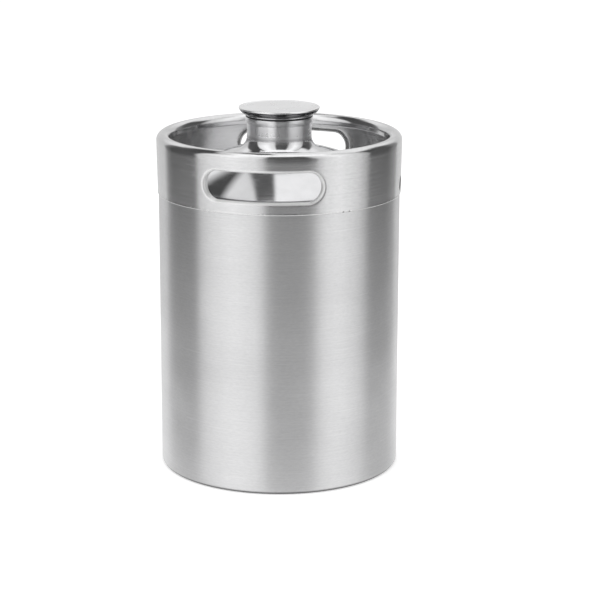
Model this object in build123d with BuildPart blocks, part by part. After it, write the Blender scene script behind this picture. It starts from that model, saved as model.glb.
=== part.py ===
from build123d import *
import math
import os

# Stainless steel keg of about five litres, closed by a mushroom-shaped screw cap.
# Millimetres, +Z up. The origin is the centre of the foot ring, on the ground.
# The two hand slots face -Y and +Y, and the two drain holes face -X and +X.

# Barrel: a rolled tube whose lower edge turns in to a flat foot ring.
barrel_diameter = 175.0
barrel_height = 203.0
barrel_sheet = 0.8
foot_corner_radius = 3.0
foot_ring_width = 2.5

# Bottom head: a flanged disc, pressed upwards so that it never touches the ground.
bottom_sheet = 0.8
bottom_flange_gap = 0.1
bottom_flange_width = 7.0
bottom_step_width = 8.0
bottom_step_height = 6.0
bottom_crown_rise = 4.0
bottom_bend_radius = 4.0

# Top head: a dished end with a turned-up mouth that carries the neck.
top_sheet = 0.8
head_fit = 0.05
head_skirt_length = 5.0
head_tangent_drop = 0.5
knuckle_radius = 12.0
dome_rise = 35.0
mouth_rise = 8.5
mouth_fillet_radius = 10.0

# Carrying collar: a ring with a rolled rim, two hand slots and two drain holes.
collar_sheet = 0.8
collar_height = 42.1
collar_foot_overhang = 0.6
collar_rim_overhang = 1.4
roll_width = 9.9
roll_leg = 2.0
hem_radius = 1.2
hem_return = 1.0
slot_width = 83.4
slot_height = 20.9
slot_sill = 7.4
slot_tunnel_depth = 4.2
slot_lip_radius = 2.3
drain_hole_diameter = 9.0
drain_sill = 2.1
drain_tunnel_depth = 1.5
drain_lip_radius = 1.2

# Weld beads.
collar_weld_height = 1.4
collar_weld_crown = 0.35
neck_weld_height = 0.6
base_weld_width = 1.0
base_weld_lift = 0.15

# Neck: a turned ferrule with a coarse inside thread and a flared lip.
neck_bore = 42.8
neck_wall = 2.0
neck_height = 11.4
neck_lip_overhang = 1.1
neck_lip_height = 1.6
neck_flare_height = 3.2
neck_lip_bevel = 0.5
neck_mouth_bevel = 0.5
neck_thread_lift = 1.6
neck_thread_relief = 1.8

# Thread form, shared by the neck and the cap's plug. It is right-handed.
thread_pitch = 4.0
thread_depth = 1.3
thread_base_width = 2.3
thread_crest_width = 1.1
thread_clearance = 0.4
thread_root_bite = 0.15

# Cap: a gasket, a threaded plug, a skirt and a flat knob on top of it.
gasket_thickness = 1.0
gasket_width = 4.2
gasket_fit = 0.3
plug_sheet = 1.0
plug_depth = 16.5
plug_thread_relief = 2.8
plug_corner_radius = 2.5
plug_flange_sheet = 0.9
plug_flange_setback = 0.2
skirt_sheet = 0.9
skirt_height = 3.8
skirt_bulge = 0.8
skirt_bore_setback = 0.8
knob_overhang = 4.9
knob_thickness = 1.3
knob_edge_overhang = 0.2
knob_top_round = 0.8
knob_bottom_round = 0.3
knob_dish_depth = 0.3
knob_dish_inset = 2.0
knob_dish_slope = 1.0

# How near an edge lies to a surface that it is looked up on.
edge_tolerance = 0.05

# Places that follow from the sizes above, from the ground up.
barrel_radius = barrel_diameter / 2
barrel_inner_radius = barrel_radius - barrel_sheet
foot_outer_radius = barrel_radius - foot_corner_radius
foot_inner_radius = foot_outer_radius - foot_ring_width

bottom_flange_radius = foot_outer_radius - bottom_flange_gap
bottom_step_outer = bottom_flange_radius - bottom_flange_width
bottom_step_inner = bottom_step_outer - bottom_step_width
bottom_step_top = barrel_sheet + bottom_step_height

head_radius = barrel_inner_radius - head_fit
head_tangent_height = barrel_height - head_tangent_drop
apex_height = head_tangent_height + dome_rise
mouth_top = apex_height + mouth_rise

collar_foot = barrel_height + collar_weld_height
collar_foot_radius = barrel_radius + collar_foot_overhang
rim_radius = barrel_radius + collar_rim_overhang
rim_crest = collar_foot + collar_height
roll_radius = roll_width / 2
roll_centre_height = rim_crest - roll_radius
roll_inner_radius = rim_radius - roll_width
hem_height = roll_centre_height - roll_leg
slot_centre_height = collar_foot + slot_sill + slot_height / 2
drain_centre_height = collar_foot + drain_sill + drain_hole_diameter / 2

neck_bore_radius = neck_bore / 2
neck_radius = neck_bore_radius + neck_wall
neck_lip_radius = neck_radius + neck_lip_overhang
neck_bottom = mouth_top + neck_weld_height
neck_top = neck_bottom + neck_height
neck_lip_bottom = neck_top - neck_lip_height
neck_thread_start = neck_bottom + neck_thread_lift
neck_thread_turns = (neck_top - neck_thread_relief - neck_thread_start) / thread_pitch

flange_bottom = neck_top + gasket_thickness
flange_top = flange_bottom + plug_flange_sheet
plug_flange_radius = neck_lip_radius - plug_flange_setback
plug_radius = neck_bore_radius - thread_clearance - thread_depth
plug_inner_radius = plug_radius - plug_sheet
plug_bottom = flange_bottom - plug_depth
plug_thread_start = neck_thread_start - thread_pitch / 2
plug_thread_turns = (flange_bottom - plug_thread_relief - plug_thread_start) / thread_pitch
gasket_inner_radius = plug_radius + gasket_fit
gasket_outer_radius = gasket_inner_radius + gasket_width

knob_radius = plug_flange_radius + knob_overhang
knob_bottom = flange_top + skirt_height
knob_top = knob_bottom + knob_thickness
skirt_top_radius = knob_radius - knob_edge_overhang
skirt_bore_radius = plug_inner_radius + skirt_bore_setback
dish_radius = knob_radius - knob_dish_inset

# Dome outline: the crown touches the knuckle below it and the mouth's fillet above it.
knuckle_centre_radius = head_radius - knuckle_radius
crown_radius = knuckle_centre_radius**2 + dome_rise**2 - knuckle_radius**2
crown_radius /= 2 * (dome_rise - knuckle_radius)
crown_centre_height = apex_height - crown_radius
knuckle_angle = math.asin(knuckle_centre_radius / (crown_radius - knuckle_radius))
fillet_reach = crown_radius + mouth_fillet_radius
fillet_angle = math.asin((neck_radius + mouth_fillet_radius) / fillet_reach)
fillet_height = crown_centre_height + fillet_reach * math.cos(fillet_angle)

# Round pieces start on this plane, so that no joint line crosses a slot or a hole.
side_plane = Plane.XZ.rotated((0, 0, 45))


def on_crown(angle):
    """Point of the dome's crown at an angle from the keg's axis."""
    height = crown_centre_height + crown_radius * math.cos(angle)
    return (crown_radius * math.sin(angle), height)


def skin_radius(height):
    """Outer radius of the collar's flared wall at a height."""
    share = (height - collar_foot) / (roll_centre_height - collar_foot)
    return collar_foot_radius + share * (rim_radius - collar_foot_radius)


def wall_band(inner_radius, skin_depth):
    """Outline of the ring between a radius and a depth below the collar's skin."""
    Polyline(
        (inner_radius, collar_foot),
        (skin_radius(collar_foot) - skin_depth, collar_foot),
        (skin_radius(roll_centre_height) - skin_depth, roll_centre_height),
        (inner_radius, roll_centre_height),
        close=True,
    )


def edges_on_skin(part, skin_depth, centre_height, reach):
    """Edges round an opening that follow the collar's wall at a depth below its skin."""

    def lies_there(edge):
        points = [edge @ share for share in (0, 0.25, 0.5, 0.75, 1)]
        return all(
            abs(math.hypot(p.X, p.Y) + skin_depth - skin_radius(p.Z)) < edge_tolerance
            and abs(p.Z - centre_height) < reach
            for p in points
        )

    return part.edges().filter_by(lies_there)


def thread_ridge(radius, start_height, turns, outward):
    """Helical ridge whose base sinks a little into a wall of the given radius."""
    side = 1 if outward else -1
    with BuildPart() as ridge:
        with BuildLine() as path:
            helix = Helix(
                pitch=thread_pitch,
                height=thread_pitch * turns,
                radius=radius,
                center=(0, 0, start_height),
            )
        with BuildSketch(Plane(origin=helix @ 0, x_dir=(1, 0, 0), z_dir=helix % 0)):
            with BuildLine():
                Polyline(
                    (-side * thread_root_bite, -thread_base_width / 2),
                    (side * thread_depth, -thread_crest_width / 2),
                    (side * thread_depth, thread_crest_width / 2),
                    (-side * thread_root_bite, thread_base_width / 2),
                    close=True,
                )
            make_face()
        sweep(path=path.line, is_frenet=True)
    return ridge.part


os.makedirs("parts", exist_ok=True)

# Barrel wall, down to its foot ring.
with BuildPart() as barrel_wall:
    with BuildSketch(side_plane):
        with BuildLine():
            foot = Line((foot_inner_radius, 0), (foot_outer_radius, 0))
            corner = TangentArc(foot @ 1, (barrel_radius, foot_corner_radius), tangent=foot % 1)
            Line(corner @ 1, (barrel_radius, barrel_height))
            offset(amount=barrel_sheet, side=Side.LEFT)
        make_face()
    revolve(axis=Axis.Z)
barrel_wall.part.label = "barrel_wall"
export_step(barrel_wall.part, "parts/barrel_wall.step")

# Bottom head, whose flange rests on the inside of the foot ring.
with BuildPart() as bottom_head:
    with BuildSketch(side_plane):
        with BuildLine() as bottom_skin:
            crown = TangentArc(
                (0, bottom_step_top + bottom_crown_rise),
                (bottom_step_inner, bottom_step_top),
                tangent=(1, 0),
            )
            step = Line(crown @ 1, (bottom_step_outer, barrel_sheet))
            flange = Line(step @ 1, (bottom_flange_radius, barrel_sheet))
            bends = [
                bottom_skin.vertices().sort_by_distance(crown @ 1)[0],
                bottom_skin.vertices().sort_by_distance(step @ 1)[0],
            ]
            fillet(bends, bottom_bend_radius)
            offset(amount=bottom_sheet, side=Side.LEFT)
        make_face()
    revolve(axis=Axis.Z)
bottom_head.part.label = "bottom_head"
export_step(bottom_head.part, "parts/bottom_head.step")

# Top head: skirt, knuckle, crown, fillet and turned-up mouth, each tangent to the next.
with BuildPart() as top_head:
    with BuildSketch(side_plane):
        with BuildLine():
            skirt = Line(
                (head_radius, head_tangent_height - head_skirt_length),
                (head_radius, head_tangent_height),
            )
            knuckle = TangentArc(skirt @ 1, on_crown(knuckle_angle), tangent=skirt % 1)
            dome = TangentArc(knuckle @ 1, on_crown(fillet_angle), tangent=knuckle % 1)
            mouth = TangentArc(dome @ 1, (neck_radius, fillet_height), tangent=dome % 1)
            Line(mouth @ 1, (neck_radius, mouth_top))
            offset(amount=top_sheet, side=Side.LEFT)
        make_face()
    revolve(axis=Axis.Z)
top_head.part.label = "top_head"
export_step(top_head.part, "parts/top_head.step")

# Tunnels that line the hand slots and the drain holes, cut to the collar's round wall.
with BuildPart() as slot_tunnels:
    with BuildSketch(Plane.XZ):
        with Locations((0, slot_centre_height)):
            SlotOverall(slot_width + 2 * collar_sheet, slot_height + 2 * collar_sheet)
    extrude(amount=2 * rim_radius, both=True)
    with BuildSketch(side_plane):
        with BuildLine():
            wall_band(collar_foot_radius - slot_tunnel_depth, collar_sheet / 2)
        make_face()
    revolve(axis=Axis.Z, mode=Mode.INTERSECT)

with BuildPart() as drain_tunnels:
    with BuildSketch(Plane.YZ):
        with Locations((0, drain_centre_height)):
            Circle(drain_hole_diameter / 2 + collar_sheet)
    extrude(amount=2 * rim_radius, both=True)
    with BuildSketch(side_plane):
        with BuildLine():
            wall_band(collar_foot_radius - drain_tunnel_depth, collar_sheet / 2)
        make_face()
    revolve(axis=Axis.Z, mode=Mode.INTERSECT)

# Carrying collar: one sheet that rolls inwards at the top and ends in a hem.
with BuildPart() as carrying_collar:
    with BuildSketch(side_plane):
        with BuildLine():
            wall = Line((collar_foot_radius, collar_foot), (rim_radius, roll_centre_height))
            roll = ThreePointArc(
                wall @ 1,
                (rim_radius - roll_radius, rim_crest),
                (roll_inner_radius, roll_centre_height),
            )
            leg = Line(roll @ 1, (roll_inner_radius, hem_height))
            hem = ThreePointArc(
                leg @ 1,
                (roll_inner_radius + hem_radius, hem_height - hem_radius),
                (roll_inner_radius + 2 * hem_radius, hem_height),
            )
            Line(hem @ 1, (roll_inner_radius + 2 * hem_radius, hem_height + hem_return))
            offset(amount=collar_sheet, side=Side.LEFT)
        make_face()
    revolve(axis=Axis.Z)
    add(slot_tunnels.part)
    add(drain_tunnels.part)
    with BuildSketch(Plane.XZ):
        with Locations((0, slot_centre_height)):
            SlotOverall(slot_width, slot_height)
    extrude(amount=2 * rim_radius, both=True, mode=Mode.SUBTRACT)
    with BuildSketch(Plane.YZ):
        with Locations((0, drain_centre_height)):
            Circle(drain_hole_diameter / 2)
    extrude(amount=2 * rim_radius, both=True, mode=Mode.SUBTRACT)
    # The sheet bends round into each tunnel: a small radius inside, a larger one outside.
    for centre_height, opening_height, lip_radius in (
        (slot_centre_height, slot_height, slot_lip_radius),
        (drain_centre_height, drain_hole_diameter, drain_lip_radius),
    ):
        reach = opening_height / 2 + 2 * collar_sheet
        inside = edges_on_skin(carrying_collar.part, collar_sheet, centre_height, reach)
        fillet(inside, lip_radius - collar_sheet)
        outside = edges_on_skin(carrying_collar.part, 0, centre_height, reach)
        fillet(outside, lip_radius)
carrying_collar.part.label = "carrying_collar"
export_step(carrying_collar.part, "parts/carrying_collar.step")

# Neck ferrule, with the thread inside its bore.
with BuildPart() as neck_ferrule:
    with BuildSketch(side_plane):
        with BuildLine():
            column = Line((neck_radius, neck_bottom), (neck_radius, neck_lip_bottom - neck_flare_height))
            flare = TangentArc(column @ 1, (neck_lip_radius, neck_lip_bottom), tangent=column % 1)
            Polyline(
                flare @ 1,
                (neck_lip_radius, neck_top - neck_lip_bevel),
                (neck_lip_radius - neck_lip_bevel, neck_top),
                (neck_bore_radius + neck_mouth_bevel, neck_top),
                (neck_bore_radius, neck_top - neck_mouth_bevel),
                (neck_bore_radius, neck_bottom),
                column @ 0,
            )
        make_face()
    revolve(axis=Axis.Z)
    add(thread_ridge(neck_bore_radius, neck_thread_start, neck_thread_turns, outward=False))
neck_ferrule.part.label = "neck_ferrule"
export_step(neck_ferrule.part, "parts/neck_ferrule.step")

# Weld bead between the barrel and the collar, slightly proud of both.
with BuildPart() as collar_weld:
    with BuildSketch(side_plane):
        with BuildLine():
            Polyline(
                (barrel_radius, barrel_height),
                (barrel_inner_radius, barrel_height),
                (barrel_inner_radius, collar_foot),
                (collar_foot_radius, collar_foot),
            )
            ThreePointArc(
                (collar_foot_radius, collar_foot),
                (collar_foot_radius + collar_weld_crown, collar_foot - collar_weld_height / 2),
                (barrel_radius, barrel_height),
            )
        make_face()
    revolve(axis=Axis.Z)
collar_weld.part.label = "collar_weld"
export_step(collar_weld.part, "parts/collar_weld.step")

# Weld between the head's mouth and the neck, ground flush outside.
with BuildPart() as neck_weld:
    with BuildSketch(side_plane):
        with BuildLine():
            Polyline(
                (neck_bore_radius, neck_bottom),
                (neck_radius, neck_bottom),
                (neck_radius, mouth_top),
                (neck_radius - top_sheet, mouth_top),
                close=True,
            )
        make_face()
    revolve(axis=Axis.Z)
neck_weld.part.label = "neck_weld"
export_step(neck_weld.part, "parts/neck_weld.step")

# Fillet weld under the bottom head, along the inner edge of the foot ring.
with BuildPart() as base_weld:
    with BuildSketch(side_plane):
        with BuildLine():
            Polyline(
                (foot_inner_radius, base_weld_lift),
                (foot_inner_radius, barrel_sheet),
                (foot_inner_radius - base_weld_width, barrel_sheet),
                close=True,
            )
        make_face()
    revolve(axis=Axis.Z)
base_weld.part.label = "base_weld"
export_step(base_weld.part, "parts/base_weld.step")

# Gasket, held between the neck's lip and the plug's flange.
with BuildPart() as cap_gasket:
    with BuildSketch(Plane.XY.offset(neck_top)):
        Circle(gasket_outer_radius)
        Circle(gasket_inner_radius, mode=Mode.SUBTRACT)
    extrude(amount=gasket_thickness)
cap_gasket.part.label = "cap_gasket"
export_step(cap_gasket.part, "parts/cap_gasket.step")

# Threaded plug: a drawn cup with a flange round its open top.
with BuildPart() as cap_plug:
    with BuildSketch(side_plane) as plug_profile:
        with BuildLine():
            Polyline(
                (0, plug_bottom),
                (plug_radius, plug_bottom),
                (plug_radius, flange_bottom),
                (plug_flange_radius, flange_bottom),
                (plug_flange_radius, flange_top),
                (plug_inner_radius, flange_top),
                (plug_inner_radius, plug_bottom + plug_sheet),
                (0, plug_bottom + plug_sheet),
                close=True,
            )
        make_face()
        outer_corner = plug_profile.vertices().sort_by_distance((plug_radius, plug_bottom))[0]
        fillet(outer_corner, plug_corner_radius)
        inner_point = (plug_inner_radius, plug_bottom + plug_sheet)
        inner_corner = plug_profile.vertices().sort_by_distance(inner_point)[0]
        fillet(inner_corner, plug_corner_radius - plug_sheet)
    revolve(axis=Axis.Z)
    add(thread_ridge(plug_radius, plug_thread_start, plug_thread_turns, outward=True))
cap_plug.part.label = "cap_plug"
export_step(cap_plug.part, "parts/cap_plug.step")

# Skirt: a spun shell that widens from the plug's flange to the knob.
with BuildPart() as cap_skirt:
    with BuildSketch(side_plane):
        with BuildLine():
            outer_curve = SagittaArc(
                (plug_flange_radius, flange_top),
                (skirt_top_radius, knob_bottom),
                -skirt_bulge,
            )
            inner_curve = SagittaArc(
                (skirt_top_radius - skirt_sheet, knob_bottom),
                (plug_flange_radius - skirt_sheet / 2, flange_top + skirt_sheet),
                skirt_bulge,
            )
            Line(outer_curve @ 1, inner_curve @ 0)
            Polyline(
                inner_curve @ 1,
                (skirt_bore_radius, flange_top + skirt_sheet),
                (skirt_bore_radius, flange_top),
                outer_curve @ 0,
            )
        make_face()
    revolve(axis=Axis.Z)
cap_skirt.part.label = "cap_skirt"
export_step(cap_skirt.part, "parts/cap_skirt.step")

# Knob: a flat disc with a rounded edge and a slightly sunken face.
with BuildPart() as cap_knob:
    with BuildSketch(side_plane) as knob_profile:
        with BuildLine():
            Polyline(
                (0, knob_bottom),
                (knob_radius, knob_bottom),
                (knob_radius, knob_top),
                (dish_radius, knob_top),
                (dish_radius - knob_dish_slope, knob_top - knob_dish_depth),
                (0, knob_top - knob_dish_depth),
                close=True,
            )
        make_face()
        upper_corner = knob_profile.vertices().sort_by_distance((knob_radius, knob_top))[0]
        fillet(upper_corner, knob_top_round)
        lower_corner = knob_profile.vertices().sort_by_distance((knob_radius, knob_bottom))[0]
        fillet(lower_corner, knob_bottom_round)
    revolve(axis=Axis.Z)
cap_knob.part.label = "cap_knob"
export_step(cap_knob.part, "parts/cap_knob.step")

print("rim crest", rim_crest)
print("overall height", knob_top)
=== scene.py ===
from math import asin, atan2, cos, hypot, pi, radians, sin, sqrt, tan

import bmesh
import bpy
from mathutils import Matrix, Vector


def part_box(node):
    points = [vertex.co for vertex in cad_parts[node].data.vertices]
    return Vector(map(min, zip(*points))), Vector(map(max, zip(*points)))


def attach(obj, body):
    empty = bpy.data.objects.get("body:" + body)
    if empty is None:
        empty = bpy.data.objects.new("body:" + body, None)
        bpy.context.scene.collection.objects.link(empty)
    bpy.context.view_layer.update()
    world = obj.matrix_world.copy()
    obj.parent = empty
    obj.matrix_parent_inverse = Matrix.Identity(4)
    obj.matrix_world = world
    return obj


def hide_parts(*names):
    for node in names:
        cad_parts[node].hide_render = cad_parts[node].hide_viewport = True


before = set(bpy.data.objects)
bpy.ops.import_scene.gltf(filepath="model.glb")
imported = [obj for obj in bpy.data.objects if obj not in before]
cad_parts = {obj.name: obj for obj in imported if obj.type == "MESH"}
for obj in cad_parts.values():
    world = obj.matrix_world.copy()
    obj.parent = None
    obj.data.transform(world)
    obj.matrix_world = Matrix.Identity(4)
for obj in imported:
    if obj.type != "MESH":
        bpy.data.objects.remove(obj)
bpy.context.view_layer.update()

# The looks of a stainless steel keg with a screw cap. Metres, +Z up, the hand slots face -Y and +Y.

mm = 0.001
merge_distance = 0.001 * mm

# How finely round things are divided.
turn_steps = 288
wall_columns = 360
wall_rows = 24
smooth_angle = radians(32)

# Sheet thicknesses.
sheet = 0.8 * mm
skirt_sheet = 0.9 * mm

# Places read from the fixed frame.
barrel_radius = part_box("barrel_wall")[1].x
barrel_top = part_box("barrel_wall")[1].z
head_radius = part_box("top_head")[1].x
head_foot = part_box("top_head")[0].z
mouth_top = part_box("top_head")[1].z
collar_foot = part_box("carrying_collar")[0].z
rim_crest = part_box("carrying_collar")[1].z
rim_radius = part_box("carrying_collar")[1].x
neck_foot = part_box("neck_ferrule")[0].z
neck_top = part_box("neck_ferrule")[1].z
lip_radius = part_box("neck_ferrule")[1].x
gasket_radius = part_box("cap_gasket")[1].x
gasket_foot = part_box("cap_gasket")[0].z
gasket_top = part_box("cap_gasket")[1].z
plug_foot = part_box("cap_plug")[0].z
plug_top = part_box("cap_plug")[1].z
flange_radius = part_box("cap_plug")[1].x
skirt_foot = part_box("cap_skirt")[0].z
skirt_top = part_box("cap_skirt")[1].z
knob_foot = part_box("cap_knob")[0].z
knob_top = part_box("cap_knob")[1].z
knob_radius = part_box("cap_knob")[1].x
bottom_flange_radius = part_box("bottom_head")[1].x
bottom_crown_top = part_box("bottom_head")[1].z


# Modelling ------------------------------------------------------------------------------------


def start_piece(name, add, **place):
    """Adds a primitive with nothing else selected, and puts its place into its mesh."""
    bpy.ops.object.select_all(action="DESELECT")
    add(**place)
    piece = bpy.context.object
    piece.name = name
    bpy.ops.object.transform_apply(location=True, rotation=True, scale=True)
    return piece


def edit():
    bpy.ops.object.mode_set(mode="EDIT")
    bpy.ops.mesh.select_mode(type="VERT")


def leave():
    bpy.ops.object.mode_set(mode="OBJECT")


def pick_points(piece, test):
    """Selects the points that pass the test, and the edges and faces between them."""
    bpy.ops.mesh.select_mode(type="VERT")
    bpy.ops.mesh.select_all(action="DESELECT")
    mesh = bmesh.from_edit_mesh(piece.data)
    for point in mesh.verts:
        point.select = test(point.co)
    mesh.select_flush(True)
    bmesh.update_edit_mesh(piece.data)


def pick_faces(piece, test):
    """Selects the faces whose middle passes the test."""
    bpy.ops.mesh.select_all(action="DESELECT")
    bpy.ops.mesh.select_mode(type="FACE")
    mesh = bmesh.from_edit_mesh(piece.data)
    for face in mesh.faces:
        face.select = test(face.calc_center_median())
    mesh.select_flush(True)
    bmesh.update_edit_mesh(piece.data)


def pick_edges(piece, test):
    """Selects the edges whose two ends pass the test."""
    bpy.ops.mesh.select_all(action="DESELECT")
    bpy.ops.mesh.select_mode(type="EDGE")
    mesh = bmesh.from_edit_mesh(piece.data)
    for edge in mesh.edges:
        edge.select = test(edge.verts[0].co, edge.verts[1].co)
    mesh.select_flush_mode()
    bmesh.update_edit_mesh(piece.data)


def apply_modifier(piece, kind, **settings):
    """Adds a modifier with the given settings and applies it."""
    bpy.ops.object.select_all(action="DESELECT")
    piece.select_set(True)
    bpy.context.view_layer.objects.active = piece
    modifier = piece.modifiers.new(kind.lower(), kind)
    for setting, value in settings.items():
        setattr(modifier, setting, value)
    bpy.ops.object.modifier_apply(modifier=modifier.name)


def thicken(piece, thickness):
    """Gives a skin its thickness, inwards from the face that shows."""
    apply_modifier(piece, "SOLIDIFY", thickness=thickness, offset=-1, use_even_offset=True)
    edit()
    bpy.ops.mesh.select_all(action="SELECT")
    bpy.ops.mesh.normals_make_consistent(inside=False)
    leave()


def smooth(piece, angle=smooth_angle):
    bpy.ops.object.select_all(action="DESELECT")
    piece.select_set(True)
    bpy.context.view_layer.objects.active = piece
    bpy.ops.object.shade_smooth_by_angle(angle=angle)


class Template:
    """A line drawn on the XZ plane, as a lathe's template is, and then turned round the Z axis."""

    def __init__(self, name, radius, height):
        self.piece = start_piece(name, bpy.ops.mesh.primitive_plane_add, size=mm)
        edit()
        bpy.ops.mesh.merge(type="CENTER")
        bpy.ops.transform.translate(value=(radius, 0, height))
        self.radius = radius
        self.height = height

    def line(self, radius, height, cuts=1):
        """A straight line to a radius and a height."""
        step = ((radius - self.radius) / cuts, 0, (height - self.height) / cuts)
        for _ in range(cuts):
            bpy.ops.mesh.extrude_region_move(TRANSFORM_OT_translate={"value": step})
        self.radius = radius
        self.height = height

    def arc(self, centre_radius, centre_height, degrees, steps):
        """An arc about a centre. Degrees count left round, as seen from the front."""
        bpy.ops.mesh.spin(
            steps=steps, angle=radians(degrees), center=(centre_radius, 0, centre_height), axis=(0, 1, 0)
        )
        across = self.radius - centre_radius
        up = self.height - centre_height
        turn = radians(degrees)
        self.radius = centre_radius + across * cos(turn) - up * sin(turn)
        self.height = centre_height + across * sin(turn) + up * cos(turn)

    def bow(self, radius, height, bulge, steps):
        """An arc to a point, bulging to the right of the way there by the given distance."""
        across = radius - self.radius
        up = height - self.height
        chord = hypot(across, up)
        reach = (chord * chord / 4 + bulge * bulge) / (2 * bulge)
        away = reach - bulge
        centre_radius = self.radius + across / 2 - up / chord * away
        centre_height = self.height + up / 2 + across / chord * away
        self.arc(centre_radius, centre_height, 360 / pi * asin(chord / 2 / reach), steps)

    def bend(self, radius, height, next_radius, next_height, bend_radius, steps):
        """A straight line towards a corner, and an arc that rounds it towards the next point."""
        before = Vector((radius - self.radius, height - self.height)).normalized()
        after = Vector((next_radius - radius, next_height - height)).normalized()
        turn = atan2(before.x * after.y - before.y * after.x, before.dot(after))
        reach = bend_radius * tan(abs(turn) / 2)
        side = 1 if turn > 0 else -1
        self.line(radius - reach * before.x, height - reach * before.y)
        centre_radius = self.radius - side * bend_radius * before.y
        centre_height = self.height + side * bend_radius * before.x
        self.arc(centre_radius, centre_height, turn * 180 / pi, steps)

    def turned(self):
        """Turns the template once round, closes the seam and points the faces outwards."""
        bpy.ops.mesh.select_all(action="SELECT")
        bpy.ops.mesh.spin(steps=turn_steps, angle=2 * pi, center=(0, 0, 0), axis=(0, 0, 1))
        bpy.ops.mesh.select_all(action="SELECT")
        bpy.ops.mesh.remove_doubles(threshold=merge_distance)
        bpy.ops.mesh.normals_make_consistent(inside=False)
        leave()
        return self.piece


def dress(piece, node, body, slot, material, *more_nodes):
    """Puts a finished piece in a node's place, on its body and with its finish."""
    smooth(piece)
    piece.data.materials.clear()
    piece.data.materials.append(material)
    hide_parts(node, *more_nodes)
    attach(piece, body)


# Shader helpers -------------------------------------------------------------------------------


def add_node(tree, kind, inputs=None, **settings):
    """Adds a node. An input is given a value, or is joined where an output socket is given."""
    node = tree.nodes.new(kind)
    for setting, value in settings.items():
        setattr(node, setting, value)
    for socket, value in (inputs or {}).items():
        if isinstance(value, bpy.types.NodeSocket):
            tree.links.new(value, node.inputs[socket])
        else:
            node.inputs[socket].default_value = value
    return node


def calculate(tree, operation, *values):
    """A Math node's result."""
    return add_node(tree, "ShaderNodeMath", dict(enumerate(values)), operation=operation).outputs[0]


def spread(tree, value, low, high, new_low, new_high):
    """Stretches a value from one range to another, and holds it inside the new one."""
    node = add_node(
        tree,
        "ShaderNodeMapRange",
        {"Value": value, "From Min": low, "From Max": high, "To Min": new_low, "To Max": new_high},
    )
    return node.outputs["Result"]


def noise(tree, vector, scale, detail=2.0, roughness=0.5):
    inputs = {"Vector": vector, "Scale": scale, "Detail": detail, "Roughness": roughness}
    return add_node(tree, "ShaderNodeTexNoise", inputs).outputs["Fac"]


def stretched(tree, vector, x, y, z):
    """Scales a vector by a different amount along each axis."""
    return add_node(tree, "ShaderNodeMapping", {"Vector": vector, "Scale": (x, y, z)}).outputs["Vector"]


def blend_colours(tree, share, first, second):
    node = add_node(tree, "ShaderNodeMix", data_type="RGBA")
    tree.links.new(share, node.inputs["Factor"])
    for socket, colour in ((node.inputs[6], first), (node.inputs[7], second)):
        if isinstance(colour, bpy.types.NodeSocket):
            tree.links.new(colour, socket)
        else:
            socket.default_value = (*colour, 1)
    return node.outputs[2]


def new_group(name, inputs, outputs):
    """A shader node group with named sockets: (name, kind) pairs, kinds being Float, Color or Vector."""
    tree = bpy.data.node_groups.new(name, "ShaderNodeTree")
    for socket, kind in inputs:
        tree.interface.new_socket(name=socket, in_out="INPUT", socket_type="NodeSocket" + kind)
    for socket, kind in outputs:
        tree.interface.new_socket(name=socket, in_out="OUTPUT", socket_type="NodeSocket" + kind)
    entry = tree.nodes.new("NodeGroupInput")
    ending = tree.nodes.new("NodeGroupOutput")
    return tree, entry, ending


def new_material(name):
    material = bpy.data.materials.new(name)
    material.use_nodes = True
    tree = material.node_tree
    shader = tree.nodes["Principled BSDF"]
    place = tree.nodes.new("ShaderNodeTexCoord").outputs["Object"]
    return material, tree, shader, place


def height_of(tree, place):
    """How high a place lies."""
    return add_node(tree, "ShaderNodeSeparateXYZ", {"Vector": place}).outputs["Z"]


def length_of(tree, across, up):
    """The length of a flat vector."""
    flat = add_node(tree, "ShaderNodeCombineXYZ", {"X": across, "Y": up}).outputs[0]
    return add_node(tree, "ShaderNodeVectorMath", {0: flat}, operation="LENGTH").outputs["Value"]


def draw_out_gloss(tree, shader, anisotropy, rotation):
    """Draws the gloss out, as fine marks that run round the keg's axis do."""
    shader.inputs["Anisotropic"].default_value = anisotropy
    shader.inputs["Anisotropic Rotation"].default_value = rotation
    tangent = add_node(tree, "ShaderNodeTangent", direction_type="RADIAL", axis="Z")
    tree.links.new(tangent.outputs[0], shader.inputs["Tangent"])


def add_relief(tree, shader, pattern, strength, depth):
    """Raises a pattern in a finish."""
    relief = add_node(
        tree, "ShaderNodeBump", {"Strength": strength, "Distance": depth, "Height": pattern}
    )
    tree.links.new(relief.outputs[0], shader.inputs["Normal"])


# Effects that several finishes share ----------------------------------------------------------


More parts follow.
